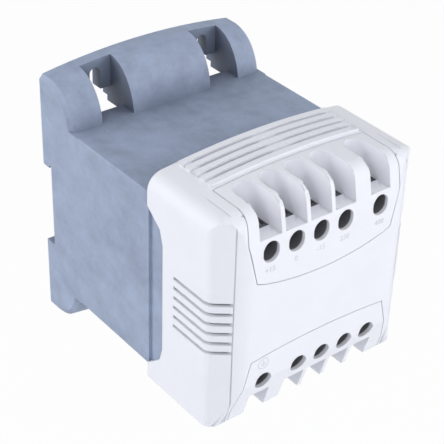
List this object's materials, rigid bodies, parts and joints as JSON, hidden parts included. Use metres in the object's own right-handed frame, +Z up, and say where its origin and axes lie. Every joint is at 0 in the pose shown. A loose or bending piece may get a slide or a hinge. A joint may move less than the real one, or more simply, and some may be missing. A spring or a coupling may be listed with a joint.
{
  "type": "din rail transformer",
  "caption": "Boxy control transformer with a pale vented front, two rows of recessed screw terminals and a rear slot with a sprung latch for a mounting rail.",
  "frame": {"origin": "middle of the flat wall that lies against the rail, at mid-width and mid-height of the rail slot", "axes": "+X to the right seen from the front, +Y from the front towards the rail, +Z up"},
  "size_m": [0.0916, 0.1142, 0.1191],
  "materials": {
    "case_plastic": "matt blue-grey moulding",
    "cover_plastic": "satin cool white moulding",
    "latch_plastic": "satin black moulding",
    "spring_steel": "bright spring steel",
    "core_steel": "dull laminated electrical steel",
    "bobbin_plastic": "black moulding",
    "coil_wire": "enamelled copper wire",
    "insulation_sheet": "amber film",
    "screw_steel": "zinc plated",
    "clamp_steel": "zinc plated",
    "strip_brass": "plain brass"
  },
  "bodies": {
    "transformer": {"rear_housing": "case_plastic", "front_cover": "cover_plastic", "upper_terminal_block": "cover_plastic", "lower_terminal_block": "cover_plastic", "latch_spring": "spring_steel", "core_e_stack": "core_steel", "core_i_stack": "core_steel", "bobbin": "bobbin_plastic", "primary_winding": "coil_wire", "winding_insulation": "insulation_sheet", "secondary_winding": "coil_wire", "outer_tape": "insulation_sheet", "core_bolts": "screw_steel", "core_washers": "screw_steel", "upper_contact_bars": "strip_brass", "lower_contact_bars": "strip_brass", "earth_strap": "strip_brass", "upper_terminal_screws": "screw_steel", "lower_terminal_screws": "screw_steel", "clamp_upper_1": "clamp_steel", "clamp_upper_2": "clamp_steel", "clamp_upper_3": "clamp_steel", "clamp_upper_4": "clamp_steel", "clamp_upper_5": "clamp_steel", "clamp_lower_1": "clamp_steel", "clamp_lower_2": "clamp_steel", "clamp_lower_3": "clamp_steel", "clamp_lower_4": "clamp_steel", "clamp_lower_5": "clamp_steel"},
    "latch": {"rail_latch": "latch_plastic"}
  },
  "joints": [
    {"name": "latch_slide", "type": "slide", "parent": "transformer", "child": "latch", "axis": [0, 0, -1], "range_m": [0, 0.004], "stiffness_N_per_m": 1500, "springref_m": -0.006, "deforming": ["latch_spring"]}
  ]
}
